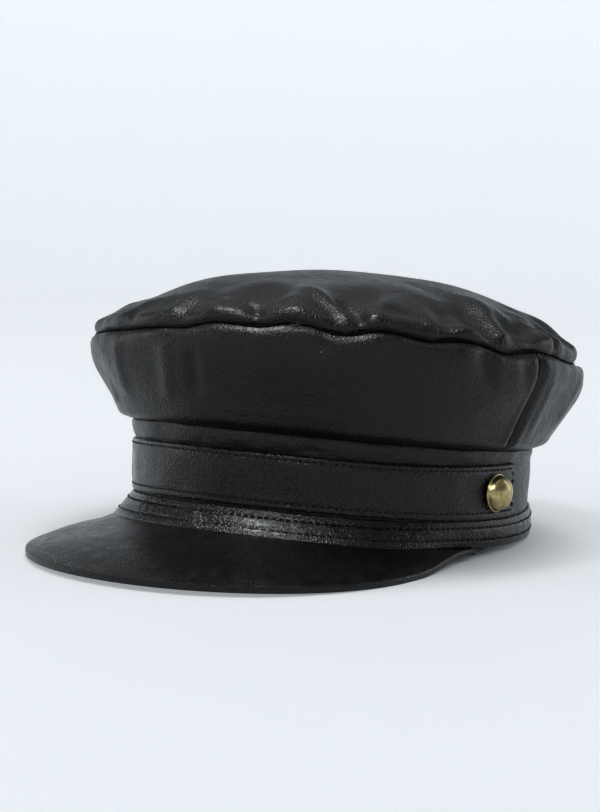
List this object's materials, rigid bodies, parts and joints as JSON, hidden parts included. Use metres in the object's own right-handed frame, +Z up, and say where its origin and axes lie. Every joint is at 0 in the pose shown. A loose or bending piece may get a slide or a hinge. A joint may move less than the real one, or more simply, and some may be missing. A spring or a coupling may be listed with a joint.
{
  "type": "biker cap",
  "caption": "Soft black leather biker cap with a gathered round crown, banded front strap with two domed buttons and a short stiff peak.",
  "frame": {"origin": "on the surface the cap rests on, under the middle of its bounding box", "axes": "+Z up, -Y the way the peak points, +X the wearer's left"},
  "size_m": [0.2314, 0.2912, 0.1254],
  "materials": {
    "crown_leather": "satin",
    "strap_leather": "satin",
    "peak_leather": "satin",
    "aged_brass": "satin"
  },
  "bodies": {
    "root": {"band": "crown_leather", "base_strip": "strap_leather", "strap": "strap_leather", "crown_side_front": "crown_leather", "crown_side_back": "crown_leather", "crown_top": "crown_leather", "peak": "peak_leather", "button_left": "aged_brass", "button_right": "aged_brass"}
  },
  "joints": []
}
